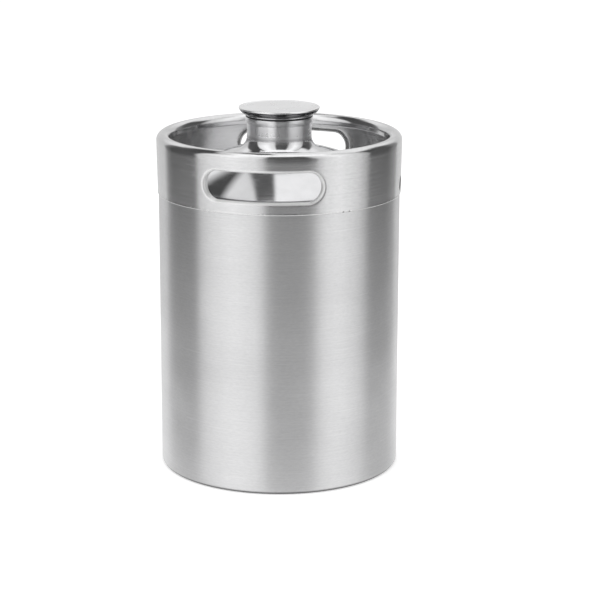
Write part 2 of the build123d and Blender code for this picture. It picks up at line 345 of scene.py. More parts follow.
def brushing_group():
    """Fine lines brushed round the keg, with longer scratches and slow patches between them."""
    tree, entry, ending = new_group(
        "brushing",
        [("Vector", "Vector"), ("Lines per metre", "Float"), ("Line length", "Float")],
        [("Lines", "Float"), ("Mottle", "Float"), ("Scratches", "Float"), ("Patches", "Float")],
    )
    vector = entry.outputs["Vector"]
    fineness = entry.outputs["Lines per metre"]
    along = calculate(tree, "DIVIDE", 1.0, entry.outputs["Line length"])
    scale = add_node(tree, "ShaderNodeCombineXYZ", {"X": along, "Y": along, "Z": fineness}).outputs[0]
    laid = add_node(tree, "ShaderNodeVectorMath", {0: vector, 1: scale}, operation="MULTIPLY").outputs[0]
    fine = noise(tree, laid, 1.0, detail=5.0, roughness=0.62)
    coarse_lay = add_node(
        tree, "ShaderNodeVectorMath", {0: laid, 1: (0.45, 0.45, 0.17)}, operation="MULTIPLY"
    ).outputs[0]
    coarse = noise(tree, coarse_lay, 1.0, detail=3.0)
    lines = calculate(tree, "MULTIPLY_ADD", fine, 0.62, calculate(tree, "MULTIPLY", coarse, 0.38))
    mottle = noise(tree, stretched(tree, vector, 330, 330, 950), 1.0, detail=3.0, roughness=0.6)
    scratch_lay = add_node(
        tree, "ShaderNodeVectorMath", {0: laid, 1: (0.8, 0.8, 0.3)}, operation="MULTIPLY"
    ).outputs[0]
    scratches = spread(tree, noise(tree, scratch_lay, 1.0, detail=1.0), 0.66, 0.74, 0.0, 1.0)
    patches = noise(tree, stretched(tree, vector, 14, 14, 22), 1.0, detail=3.0, roughness=0.55)
    tree.links.new(lines, ending.inputs["Lines"])
    tree.links.new(mottle, ending.inputs["Mottle"])
    tree.links.new(scratches, ending.inputs["Scratches"])
    tree.links.new(patches, ending.inputs["Patches"])
    return tree


brushing = brushing_group()


# Finishes -------------------------------------------------------------------------------------

# Which way a finish's gloss is drawn out, as a share of a turn from the marks that run round.
across_the_marks = 0.25
along_the_marks = 0.0

# Depths of the patterns.
brush_depth = 0.02 * mm
ring_depth = 0.01 * mm
weld_grain_depth = 0.03 * mm
rubber_grain_depth = 0.02 * mm

# Colours.
scratch_bright = (0.82, 0.82, 0.83)
# Painted shade: the dark band along the barrel's foot.
foot_painted_shade = (0.06, 0.06, 0.06)
# Painted highlight on the slots' lips.
lip_painted_highlight = (0.74, 0.74, 0.74)
# Painted shade round the drain holes.
drain_painted_shade = (0.015, 0.015, 0.015)
neck_bright = (0.94, 0.94, 0.95)
weld_dull, weld_bright = (0.66, 0.66, 0.66), (0.72, 0.72, 0.72)
pit_brown = (0.04, 0.035, 0.03)
face_dull, face_bright = (0.86, 0.86, 0.865), (0.9, 0.9, 0.905)
rubber_black, rubber_dusty = (0.012, 0.012, 0.013), (0.05, 0.05, 0.05)

# The sheet's brush lines, and how much of its shade they give. The rest is a short mottle.
brush_line_length = 0.035
line_share = 0.55
scratch_share = 0.35

# Where each mark begins and where it is full: the painted shade at the barrel's foot and round the drains,
# the rim's polish, the slots' rougher lips with their painted highlight, the satin mouth and the weld's
# pits.
foot_shade_full, foot_shade_gone = 1.2 * mm, 2.6 * mm
rim_polish_start, rim_polish_full = rim_crest - 8 * mm, rim_crest - 5 * mm
rim_polish = 0.55
lip_full, lip_gone = -1.2 * mm, -0.2 * mm
lip_roughness = 0.4
lip_matt = 0.42
drain_shade_full, drain_shade_gone = 0.7 * mm, 1.3 * mm
mouth_satin_start, mouth_satin_full = mouth_top - 4.4 * mm, mouth_top - 2.4 * mm
mouth_bright_full = mouth_top - 0.8 * mm
mouth_roughness = 0.5
pit_full, pit_gone = 0.55 * mm, 0.9 * mm
pit_height = 203.5 * mm


def satin_steel(name, lines_per_metre, roughness, tint_dark, tint_light, anisotropy, bump, local_marks):
    """Stainless sheet brushed round the keg, with the marks of its own place on it: on the barrel a painted
    shade at the foot; on the collar a finer rim, a painted highlight on the slots' lips and painted shade
    round the drains.
    """
    material, tree, shader, place = new_material(name)
    brushed = add_node(
        tree,
        "ShaderNodeGroup",
        {"Vector": place, "Lines per metre": lines_per_metre, "Line length": brush_line_length},
        node_tree=brushing,
    )
    lines = brushed.outputs["Lines"]
    patches = brushed.outputs["Patches"]
    line_shade = calculate(tree, "MULTIPLY", lines, line_share)
    shade = calculate(tree, "MULTIPLY_ADD", brushed.outputs["Mottle"], 1 - line_share, line_shade)
    colour = blend_colours(tree, spread(tree, shade, 0.36, 0.64, 0.0, 1.0), tint_dark, tint_light)
    scratched = calculate(tree, "MULTIPLY", brushed.outputs["Scratches"], scratch_share)
    colour = blend_colours(tree, scratched, colour, scratch_bright)
    worn = spread(tree, patches, 0.3, 0.7, roughness - 0.03, roughness + 0.05)
    rough = calculate(tree, "ADD", worn, spread(tree, lines, 0.3, 0.7, -0.04, 0.04))
    shader.inputs["Metallic"].default_value = 1.0
    colour, rough = local_marks(tree, shader, place, colour, rough)
    tree.links.new(colour, shader.inputs["Base Color"])
    tree.links.new(rough, shader.inputs["Roughness"])
    draw_out_gloss(tree, shader, anisotropy, across_the_marks)
    add_relief(tree, shader, lines, bump, brush_depth)
    return material


def painted_shade_at_foot(tree, shader, place, colour, rough):
    """The barrel is painted dark just above where it stands: painted shade at its foot."""
    foot_shaded = spread(tree, height_of(tree, place), foot_shade_full, foot_shade_gone, 0.85, 0.0)
    return blend_colours(tree, foot_shaded, colour, foot_painted_shade), rough


def collar_polish_and_painted_light(tree, shader, place, colour, rough):
    """The collar is finer on its rim; its slots' lips are rougher and carry a painted highlight, and round
    its drains it is painted black as painted shade.
    """
    parts = add_node(tree, "ShaderNodeSeparateXYZ", {"Vector": place})
    height = parts.outputs["Z"]
    aside = calculate(tree, "ABSOLUTE", parts.outputs["Y"])
    polish = spread(tree, height, rim_polish_start, rim_polish_full, 1.0, rim_polish)
    rough = calculate(tree, "MULTIPLY", rough, polish)
    turn = calculate(tree, "ABSOLUTE", calculate(tree, "ARCTAN2", parts.outputs["X"], aside))
    along = calculate(tree, "MULTIPLY", turn, collar_foot_radius)
    beyond = calculate(tree, "MAXIMUM", calculate(tree, "SUBTRACT", along, slot_reach), 0.0)
    out = length_of(tree, beyond, calculate(tree, "SUBTRACT", height, slot_middle))
    # Painted highlight: the slots' lips are painted lighter and less metallic; they are also rougher.
    lip_edge = slot_height / 2 + slot_lip
    lip = spread(tree, out, lip_edge + lip_full, lip_edge + lip_gone, 1.0, 0.0)
    colour = blend_colours(tree, lip, colour, lip_painted_highlight)
    rough = calculate(tree, "MAXIMUM", rough, calculate(tree, "MULTIPLY", lip, lip_roughness))
    # Painted shade: round each drain the steel is painted black, matt and not metallic.
    reach = length_of(tree, aside, calculate(tree, "SUBTRACT", height, drain_middle))
    drain_edge = drain_diameter / 2
    drain_shade_mask = spread(tree, reach, drain_edge + drain_shade_full, drain_edge + drain_shade_gone, 1.0, 0.0)
    colour = blend_colours(tree, drain_shade_mask, colour, drain_painted_shade)
    rough = calculate(tree, "MAXIMUM", rough, drain_shade_mask)
    matt = calculate(tree, "MAXIMUM", calculate(tree, "MULTIPLY", lip, lip_matt), drain_shade_mask)
    tree.links.new(calculate(tree, "SUBTRACT", 1.0, matt), shader.inputs["Metallic"])
    return colour, rough


def satin_mouth(tree, shader, place, colour, rough):
    """The head's turned-up mouth was ground with the neck: it is satin, and as bright as the neck."""
    height = height_of(tree, place)
    satin = spread(tree, height, mouth_satin_start, mouth_satin_full, 0.0, mouth_roughness)
    bright = spread(tree, height, mouth_satin_full, mouth_bright_full, 0.0, 1.0)
    colour = blend_colours(tree, bright, colour, neck_bright)
    return colour, calculate(tree, "MAXIMUM", rough, satin)


def polished_steel(name, roughness, tint, anisotropy, rings_bump, local_marks=None):
    """Polished stainless with the faint rings of a polishing wheel, and the marks of its own place."""
    material, tree, shader, place = new_material(name)
    rings = noise(tree, stretched(tree, place, 25, 25, 900), 1.0, detail=1.0)
    haze = noise(tree, place, 60.0, detail=4.0, roughness=0.6)
    dim = tuple(0.93 * part for part in tint)
    colour = blend_colours(tree, spread(tree, haze, 0.35, 0.65, 0.0, 1.0), dim, tint)
    rough = spread(tree, haze, 0.3, 0.7, roughness * 0.8, roughness * 1.3)
    if local_marks:
        colour, rough = local_marks(tree, shader, place, colour, rough)
    tree.links.new(colour, shader.inputs["Base Color"])
    rough = calculate(tree, "ADD", rough, spread(tree, rings, 0.3, 0.7, -0.015, 0.015))
    tree.links.new(rough, shader.inputs["Roughness"])
    shader.inputs["Metallic"].default_value = 1.0
    draw_out_gloss(tree, shader, anisotropy, across_the_marks)
    add_relief(tree, shader, rings, rings_bump, ring_depth)
    return material


# Across and away, in millimetres.
weld_pits = ((54.5, -68.7), (58.3, -65.5), (-70.2, -52.5), (22.0, 84.8), (-86.5, 14.0), (71.0, 51.5))


def weld_steel(name):
    """A ground weld: matter than the sheets, bright where the wheel went, with a few pinholes."""
    material, tree, shader, place = new_material(name)
    grain = noise(tree, place, 700.0, detail=3.0, roughness=0.6)
    pit = 0.0
    for across, away in weld_pits:
        middle = (across * mm, away * mm, pit_height)
        offset = add_node(
            tree, "ShaderNodeVectorMath", {0: place, 1: middle}, operation="DISTANCE"
        ).outputs["Value"]
        pit = calculate(tree, "MAXIMUM", pit, spread(tree, offset, pit_full, pit_gone, 1.0, 0.0))
    colour = blend_colours(tree, spread(tree, grain, 0.3, 0.7, 0.0, 1.0), weld_dull, weld_bright)
    tree.links.new(blend_colours(tree, pit, colour, pit_brown), shader.inputs["Base Color"])
    tree.links.new(spread(tree, grain, 0.3, 0.7, 0.2, 0.3), shader.inputs["Roughness"])
    shader.inputs["Metallic"].default_value = 1.0
    add_relief(tree, shader, grain, 0.05, weld_grain_depth)
    return material


def faced_steel(name):
    """The knob's face, turned flat on a lathe: fine rings about the axis."""
    material, tree, shader, place = new_material(name)
    parts = add_node(tree, "ShaderNodeSeparateXYZ", {"Vector": place})
    out = length_of(tree, parts.outputs["X"], parts.outputs["Y"])
    ring_place = add_node(tree, "ShaderNodeCombineXYZ", {"X": out, "Z": parts.outputs["Z"]}).outputs[0]
    rings = noise(tree, ring_place, 1000.0, detail=1.0)
    haze = noise(tree, place, 90.0, detail=4.0, roughness=0.6)
    colour = blend_colours(tree, spread(tree, rings, 0.3, 0.7, 0.0, 1.0), face_dull, face_bright)
    tree.links.new(colour, shader.inputs["Base Color"])
    tree.links.new(spread(tree, haze, 0.3, 0.7, 0.26, 0.32), shader.inputs["Roughness"])
    shader.inputs["Metallic"].default_value = 1.0
    draw_out_gloss(tree, shader, 0.4, along_the_marks)
    add_relief(tree, shader, rings, 0.01, ring_depth)
    return material


def seal_rubber(name):
    """Black moulded rubber, with a little dust."""
    material, tree, shader, place = new_material(name)
    grain = noise(tree, place, 1500.0, detail=3.0)
    dust = spread(tree, noise(tree, place, 260.0, detail=5.0, roughness=0.7), 0.55, 0.75, 0.0, 0.5)
    colour = blend_colours(tree, dust, rubber_black, rubber_dusty)
    tree.links.new(colour, shader.inputs["Base Color"])
    tree.links.new(spread(tree, grain, 0.3, 0.7, 0.5, 0.7), shader.inputs["Roughness"])
    add_relief(tree, shader, grain, 0.3, rubber_grain_depth)
    return material


barrel_finish_and_painted_shade = satin_steel(
    "barrel_finish_and_painted_shade", 5200.0, 0.34, (0.62, 0.62, 0.625), (0.71, 0.71, 0.715), 0.95, 0.06, painted_shade_at_foot
)
head_finish = polished_steel("head_finish", 0.1, (0.72, 0.72, 0.73), 0.9, 0.01, satin_mouth)
neck_finish = polished_steel("neck_finish", 0.3, neck_bright, 1.0, 0.01)
cap_finish = polished_steel("cap_finish", 0.12, (0.7, 0.7, 0.71), 0.5, 0.03)
# The skirt's near-black tint is painted shade under the knob's edge.
skirt_painted_shade = polished_steel("skirt_painted_shade", 0.14, (0.2, 0.2, 0.205), 0.5, 0.03)
knob_finish = faced_steel("knob_finish")
weld_finish = weld_steel("weld_finish")
gasket_finish = seal_rubber("gasket_finish")


# Barrel ---------------------------------------------------------------------------------------

foot_corner = 3.0 * mm
foot_ring_width = 2.5 * mm
foot_band = 2.0 * mm


def make_barrel():
    """The barrel's sheet, from the foot ring round the corner and up to the collar."""
    foot_radius = barrel_radius - foot_corner
    skin = Template("barrel", foot_radius - foot_ring_width, 0)
    skin.line(foot_radius, 0, cuts=3)
    skin.arc(foot_radius, foot_corner, 90, 10)
    skin.line(barrel_radius, foot_corner + foot_band)
    skin.line(barrel_radius, barrel_top, cuts=24)
    piece = skin.turned()
    thicken(piece, sheet)
    dress(piece, "barrel_wall", "keg", "satin_steel", barrel_finish_and_painted_shade)


make_barrel()


# Bottom head ----------------------------------------------------------------------------------

bottom_flange_width = 7.0 * mm
bottom_step_width = 8.0 * mm
bottom_step_height = 6.0 * mm
bottom_bend_radius = 4.0 * mm
base_weld_width = 1.0 * mm
base_weld_bulge = 0.1 * mm


def slope_of(skin, crown):
    """The angle in degrees that is left from the template's end to the axis, on a crown."""
    return asin(skin.radius / crown) * 180 / pi


def make_bottom_head():
    """The pressed-up bottom: a flange, a sloping step and a shallow crown."""
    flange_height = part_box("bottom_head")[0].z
    step_outer = bottom_flange_radius - bottom_flange_width
    step_inner = step_outer - bottom_step_width
    step_top = flange_height + bottom_step_height
    rise = bottom_crown_top - sheet - step_top
    crown = (step_inner * step_inner + rise * rise) / (2 * rise)
    slope = asin(step_inner / crown)
    skin = Template("bottom", bottom_flange_radius, flange_height)
    skin.bend(step_outer, flange_height, step_inner, step_top, bottom_bend_radius, 6)
    skin.bend(
        step_inner, step_top, step_inner - cos(slope), step_top + sin(slope), bottom_bend_radius, 6
    )
    skin.arc(0, step_top + rise - crown, slope_of(skin, crown), 24)
    piece = skin.turned()
    thicken(piece, -sheet)
    dress(piece, "bottom_head", "keg", "satin_steel", barrel_finish_and_painted_shade)


def make_base_weld():
    """The fillet weld along the inside of the foot ring."""
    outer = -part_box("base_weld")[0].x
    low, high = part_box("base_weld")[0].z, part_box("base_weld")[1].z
    bead = Template("foot_bead", outer, low)
    bead.bow(outer - base_weld_width, high, base_weld_bulge, 5)
    bead.line(outer, high, cuts=2)
    bead.line(outer, low)
    piece = bead.turned()
    dress(piece, "base_weld", "keg", "weld_steel", weld_finish)


make_bottom_head()
make_base_weld()


# Top head -------------------------------------------------------------------------------------

knuckle_radius = 12.0 * mm
dome_rise = 35.0 * mm
head_skirt_length = 5.0 * mm
mouth_fillet_radius = 10.0 * mm
neck_wall = 2.0 * mm
neck_lip_overhang = 1.1 * mm


def make_top_head():
    """The polished dished head: skirt, knuckle, crown, fillet and the turned-up mouth."""
    mouth_radius = lip_radius - neck_lip_overhang
    shoulder = head_foot + head_skirt_length
    knuckle_centre = head_radius - knuckle_radius
    crown = (knuckle_centre**2 + dome_rise**2 - knuckle_radius**2) / (2 * (dome_rise - knuckle_radius))
    crown_centre = shoulder + dome_rise - crown
    knuckle_angle = asin(knuckle_centre / (crown - knuckle_radius)) * 180 / pi
    fillet_centre = mouth_radius + mouth_fillet_radius
    fillet_reach = crown + mouth_fillet_radius
    fillet_angle = asin(fillet_centre / fillet_reach) * 180 / pi
    fillet_height = crown_centre + sqrt(fillet_reach**2 - fillet_centre**2)
    skin = Template("head", head_radius, head_foot)
    skin.line(head_radius, shoulder, cuts=2)
    skin.arc(knuckle_centre, shoulder, 90 - knuckle_angle, 18)
    skin.arc(0, crown_centre, knuckle_angle - fillet_angle, 36)
    skin.arc(fillet_centre, fillet_height, -(90 - fillet_angle), 20)
    skin.line(mouth_radius, mouth_top, cuts=3)
    piece = skin.turned()
    thicken(piece, sheet)
    dress(piece, "top_head", "keg", "polished_steel", head_finish)


make_top_head()


# Neck -----------------------------------------------------------------------------------------

thread_pitch = 4.0 * mm
thread_depth = 1.3 * mm
thread_base = 2.3 * mm
thread_crest = 1.1 * mm
thread_bite = 0.15 * mm
thread_steps = 96


def make_thread(name, wall_radius, start_height, turns, outward):
    """A ridge with sloping flanks, swept up a wall by a screw."""
    side = 1 if outward else -1
    ridge = Template(name, wall_radius - side * thread_bite, start_height - thread_base / 2)
    ridge.line(wall_radius + side * thread_depth, start_height - thread_crest / 2)
    ridge.line(wall_radius + side * thread_depth, start_height + thread_crest / 2)
    ridge.line(wall_radius - side * thread_bite, start_height + thread_base / 2)
    bpy.ops.mesh.select_all(action="SELECT")
    bpy.ops.mesh.edge_face_add()
    leave()
    piece = ridge.piece
    apply_modifier(
        piece,
        "SCREW",
        angle=2 * pi * turns,
        screw_offset=thread_pitch * turns,
        steps=int(thread_steps * turns),
        render_steps=int(thread_steps * turns),
    )
    edit()
    bpy.ops.mesh.select_all(action="SELECT")
    bpy.ops.mesh.remove_doubles(threshold=merge_distance)
    bpy.ops.mesh.fill_holes(sides=4)
    bpy.ops.mesh.normals_make_consistent(inside=False)
    leave()
    return piece


def join(piece, *others):
    bpy.ops.object.select_all(action="DESELECT")
    for other in others:
        other.select_set(True)
    piece.select_set(True)
    bpy.context.view_layer.objects.active = piece
    bpy.ops.object.join()


neck_lip_height = 1.6 * mm
neck_flare_height = 3.2 * mm
neck_lip_bevel = 0.5 * mm
neck_thread_lift = 1.6 * mm
neck_thread_turns = 2.0
neck_weld_hollow = 0.03 * mm


def flare_bulge():
    """How far the flare's arc lies off its chord, so that it leaves the column upright."""
    chord = hypot(neck_lip_overhang, neck_flare_height)
    bend = chord * chord / (2 * neck_lip_overhang)
    return bend - sqrt(bend * bend - chord * chord / 4)


def make_neck():
    """The turned neck, with a flared lip and the inside thread."""
    column = lip_radius - neck_lip_overhang
    bore = column - neck_wall
    lip_foot = neck_top - neck_lip_height
    flare_foot = lip_foot - neck_flare_height
    neck = Template("neck", column, neck_foot)
    neck.line(column, flare_foot, cuts=4)
    neck.bow(lip_radius, lip_foot, flare_bulge(), 8)
    neck.line(lip_radius, neck_top - neck_lip_bevel, cuts=2)
    neck.arc(lip_radius - neck_lip_bevel, neck_top - neck_lip_bevel, 90, 5)
    neck.line(bore + neck_lip_bevel, neck_top, cuts=3)
    neck.arc(bore + neck_lip_bevel, neck_top - neck_lip_bevel, 90, 5)
    neck.line(bore, neck_foot, cuts=6)
    neck.line(column, neck_foot)
    piece = neck.turned()
    ridge = make_thread("neck_ridge", bore, neck_foot + neck_thread_lift, neck_thread_turns, outward=False)
    join(piece, ridge)
    dress(piece, "neck_ferrule", "keg", "polished_steel", neck_finish)


def make_neck_weld():
    """The weld between the head's mouth and the neck, ground flush and a little hollow."""
    outer = lip_radius - neck_lip_overhang
    ring = Template("neck_bead", outer, mouth_top)
    ring.bow(outer, neck_foot, -neck_weld_hollow, 5)
    ring.line(outer - neck_wall, neck_foot, cuts=2)
    ring.line(outer - sheet, mouth_top, cuts=2)
    ring.line(outer, mouth_top)
    dress(ring.turned(), "neck_weld", "keg", "weld_steel", neck_finish)


make_neck()
make_neck_weld()


# Cap ------------------------------------------------------------------------------------------

skirt_bulge = 0.8 * mm
skirt_bore_setback = 0.8 * mm
knob_edge_overhang = 0.2 * mm
knob_round = 0.6 * mm
knob_under_round = 0.3 * mm
knob_dish_depth = 0.3 * mm
knob_dish_inset = 2.0 * mm
knob_dish_slope = 1.0 * mm
gasket_width = 4.2 * mm
gasket_round = 0.45 * mm
plug_corner = 2.5 * mm
plug_sheet = 1.0 * mm
plug_flange_sheet = 0.9 * mm
plug_flange_round = 0.2 * mm
plug_clearance = 1.7 * mm
plug_thread_turns = 2.5


def make_gasket():
    """A flat ring whose outer edge is squeezed round."""
    inner = gasket_radius - gasket_width
    ring = Template("gasket", inner, gasket_foot)
    ring.line(gasket_radius - gasket_round, gasket_foot, cuts=2)
    ring.arc(gasket_radius - gasket_round, gasket_foot + gasket_round, 90, 5)
    ring.line(gasket_radius, gasket_top - gasket_round)
    ring.arc(gasket_radius - gasket_round, gasket_top - gasket_round, 90, 5)
    ring.line(inner, gasket_top, cuts=2)
    ring.line(inner, gasket_foot)
    dress(ring.turned(), "cap_gasket", "seal", "seal_rubber", gasket_finish)


def make_skirt():
    """The spun shell between the plug's flange and the knob, painted near black as painted shade."""
    top = knob_radius - knob_edge_overhang
    bore = lip_radius - neck_lip_overhang - neck_wall - plug_clearance - plug_sheet + skirt_bore_setback
    shell = Template("skirt", bore, skirt_foot)
    shell.line(flange_radius, skirt_foot, cuts=3)
    shell.bow(top, skirt_top, skirt_bulge, 14)
    shell.line(top - skirt_sheet, skirt_top)
    shell.bow(flange_radius - skirt_sheet / 2, skirt_foot + skirt_sheet, -skirt_bulge, 14)
    shell.line(bore, skirt_foot + skirt_sheet, cuts=3)
    shell.line(bore, skirt_foot)
    dress(shell.turned(), "cap_skirt", "cap", "polished_steel", skirt_painted_shade)


def make_knob():
    """The flat knob, with a rounded edge and a slightly sunken face."""
    dish = knob_radius - knob_dish_inset
    knob = Template("knob", 0, knob_foot)
    knob.line(knob_radius - knob_under_round, knob_foot, cuts=8)
    knob.arc(knob_radius - knob_under_round, knob_foot + knob_under_round, 90, 4)
    knob.line(knob_radius, knob_top - knob_round)
    knob.arc(knob_radius - knob_round, knob_top - knob_round, 90, 8)
    knob.line(dish, knob_top, cuts=2)
    knob.line(dish - knob_dish_slope, knob_top - knob_dish_depth, cuts=3)
    knob.line(0, knob_top - knob_dish_depth, cuts=12)
    dress(knob.turned(), "cap_knob", "cap", "knob_steel", knob_finish)


def make_plug():
    """The drawn cup that screws into the neck, with its flange and its thread."""
    outer = lip_radius - neck_lip_overhang - neck_wall - plug_clearance
    inner = outer - plug_sheet
    flange_foot = plug_top - plug_flange_sheet
    edge = plug_flange_round
    cup = Template("plug", 0, plug_foot)
    cup.line(outer - plug_corner, plug_foot, cuts=8)
    cup.arc(outer - plug_corner, plug_foot + plug_corner, 90, 10)
    cup.line(outer, flange_foot, cuts=4)
    cup.line(flange_radius - edge, flange_foot, cuts=3)
    cup.arc(flange_radius - edge, flange_foot + edge, 90, 3)
    cup.line(flange_radius, plug_top - edge)
    cup.arc(flange_radius - edge, plug_top - edge, 90, 3)
    cup.line(inner, plug_top, cuts=3)
    cup.line(inner, plug_foot + plug_corner, cuts=4)
    cup.arc(outer - plug_corner, plug_foot + plug_corner, -90, 8)
    cup.line(0, plug_foot + plug_sheet, cuts=8)
    piece = cup.turned()
    start = neck_foot + neck_thread_lift - thread_pitch / 2
    ridge = make_thread("plug_ridge", outer, start, plug_thread_turns, outward=True)
    join(piece, ridge)
    dress(piece, "cap_plug", "cap", "polished_steel", cap_finish)


make_gasket()
make_plug()
make_skirt()
make_knob()


# Carrying collar ------------------------------------------------------------------------------

roll_width = 9.9 * mm
roll_leg = 2.0 * mm
roll_steps = 24
hem_steps = 12
bead_bulge = 0.4 * mm
bead_width = 1.4 * mm
hem_radius = 1.2 * mm
hem_return = 1.0 * mm
slot_width = 83.4 * mm
slot_height = 20.9 * mm
slot_sill = 7.4 * mm
slot_tunnel = 4.2 * mm
slot_lip = 2.3 * mm
slot_corner_points = 15
slot_patch_columns = 66
slot_patch_rows = (2, 21)
drain_diameter = 9.0 * mm
drain_sill = 2.1 * mm
drain_tunnel = 1.5 * mm
drain_lip = 1.2 * mm
drain_patch_columns = 12
drain_patch_rows = (0, 9)
lip_steps = 8
patch_cuts = 5
ring_setback = 2.0 * mm
collar_foot_radius = barrel_radius + 0.6 * mm
collar_length = 2 * pi * collar_foot_radius
column_width = collar_length / wall_columns
roll_centre = rim_crest - roll_width / 2
slot_middle = collar_foot + slot_sill + slot_height / 2
slot_reach = collar_foot_radius * asin(slot_width / 2 / collar_foot_radius) - slot_height / 2
drain_middle = collar_foot + drain_sill + drain_diameter / 2
row_height = (roll_centre - collar_foot) / wall_rows

# How far a point may lie off a line and still be picked with it.
slack = 0.01 * mm

collar_finish_and_painted_light = satin_steel(
    "collar_finish_and_painted_light", 5200.0, 0.22, (0.62, 0.62, 0.625), (0.7, 0.7, 0.705), 0.95, 0.04, collar_polish_and_painted_light
)


def open_patch(piece, middle, columns, rows):
    """Takes a rectangle out of the flat wall and returns its half width and its low and high edge."""
    half = columns / 2 * column_width
    low = collar_foot + rows[0] * row_height
    high = collar_foot + rows[1] * row_height
    pick_faces(piece, lambda p: abs(p.x - middle) < half and low < p.z < high)
    bpy.ops.mesh.delete(type="ONLY_FACE")
    pick_points(
        piece,
        lambda p: abs(p.x - middle) < half - slack and low + slack < p.z < high - slack,
    )
    bpy.ops.mesh.delete(type="VERT")
    return half, low, high


def bridge_to_patch(piece, middle, half, low, high, ring):
    """Joins the ring of points that was just added to the edge of the open patch round it."""

    def on_patch_edge(p):
        inside = abs(p.x - middle) < half + slack and low - slack < p.z < high + slack
        upright = abs(abs(p.x - middle) - half) < slack
        level = abs(p.z - low) < slack or abs(p.z - high) < slack
        return inside and (upright or level)

    pick_points(piece, lambda p: on_patch_edge(p) or ring(p))
    bpy.ops.mesh.bridge_edge_loops()
    pick_points(piece, ring)
    bpy.ops.transform.translate(value=(0, -ring_setback, 0))
    pick_edges(piece, lambda a, b: on_patch_edge(a) and ring(b) or on_patch_edge(b) and ring(a))
    bpy.ops.mesh.subdivide(number_cuts=patch_cuts)


def sink_lip(piece, ring, radius, tunnel):
    """Fills the ring, rolls its edge inwards as a lip and carries it on as a tunnel."""
    pick_points(piece, ring)
    bpy.ops.mesh.edge_face_add()
    bpy.ops.mesh.select_mode(type="FACE")
    mesh = bmesh.from_edit_mesh(piece.data)
    face = [face for face in mesh.faces if face.select][0]
    inward = -1 if face.normal.y < 0 else 1
    for step in range(lip_steps):
        before = pi / 2 * step / lip_steps
        after = pi / 2 * (step + 1) / lip_steps
        bpy.ops.mesh.inset(
            thickness=radius * (sin(after) - sin(before)),
            depth=inward * radius * (cos(before) - cos(after)),
            use_even_offset=True,
        )
    for _ in range(3):
        bpy.ops.mesh.extrude_region_move(TRANSFORM_OT_translate={"value": (0, (tunnel - radius) / 3, 0)})
    bpy.ops.mesh.delete(type="ONLY_FACE")


def cut_slot(piece, middle):
    """A hand slot: straight top and bottom, round ends, a rolled lip and a short tunnel."""
    half, low, high = open_patch(piece, middle, slot_patch_columns, slot_patch_rows)
    end_radius = slot_height / 2 + slot_lip
    corner_points = 4 * slot_corner_points
    straight_cuts = slot_patch_columns + slot_patch_rows[1] - slot_patch_rows[0] + 1 - corner_points // 2
    bpy.ops.mesh.select_all(action="DESELECT")
    bpy.ops.mesh.primitive_circle_add(
        vertices=corner_points,
        radius=end_radius,
        location=(middle, ring_setback, slot_middle),
        rotation=(pi / 2, 0, 0),
    )

    def on_circle(p):
        return abs(hypot(p.x - middle, p.z - slot_middle) - end_radius) < slack and low < p.z < high

    half_step = pi / corner_points
    bpy.ops.transform.rotate(
        value=half_step, orient_axis="Y", center_override=(middle, ring_setback, slot_middle)
    )
    pick_points(piece, lambda p: on_circle(p) and p.x > middle)
    bpy.ops.transform.translate(value=(slot_reach, 0, 0))
    pick_points(piece, lambda p: on_circle(p) and p.x < middle)
    bpy.ops.transform.translate(value=(-slot_reach, 0, 0))

    def on_ring(p):
        across = max(abs(p.x - middle) - slot_reach, 0)
        return abs(hypot(across, p.z - slot_middle) - end_radius) < 4 * slack and low < p.z < high

    flat = end_radius * cos(half_step)
    for side in (-1, 1):
        level = slot_middle + side * flat
        pick_points(
            piece,
            lambda p: on_ring(p) and abs(p.z - level) < slack and abs(p.x - middle) < slot_reach + 1 * mm,
        )
        bpy.ops.mesh.subdivide(number_cuts=straight_cuts - 1)
    bridge_to_patch(piece, middle, half, low, high, on_ring)
    sink_lip(piece, on_ring, slot_lip, slot_tunnel)


def cut_drain(piece, middle):
    """A drain hole low in the wall, with a small lip."""
    half, low, high = open_patch(piece, middle, drain_patch_columns, drain_patch_rows)
    ring_radius = drain_diameter / 2 + drain_lip
    ring_points = 2 * (drain_patch_columns + drain_patch_rows[1] - drain_patch_rows[0])
    bpy.ops.mesh.select_all(action="DESELECT")
    bpy.ops.mesh.primitive_circle_add(
        vertices=ring_points,
        radius=ring_radius,
        location=(middle, ring_setback, drain_middle),
        rotation=(pi / 2, 0, 0),
    )

    def on_ring(p):
        return abs(hypot(p.x - middle, p.z - drain_middle) - ring_radius) < slack and low < p.z < high

    bridge_to_patch(piece, middle, half, low, high, on_ring)
    sink_lip(piece, on_ring, drain_lip, drain_tunnel)


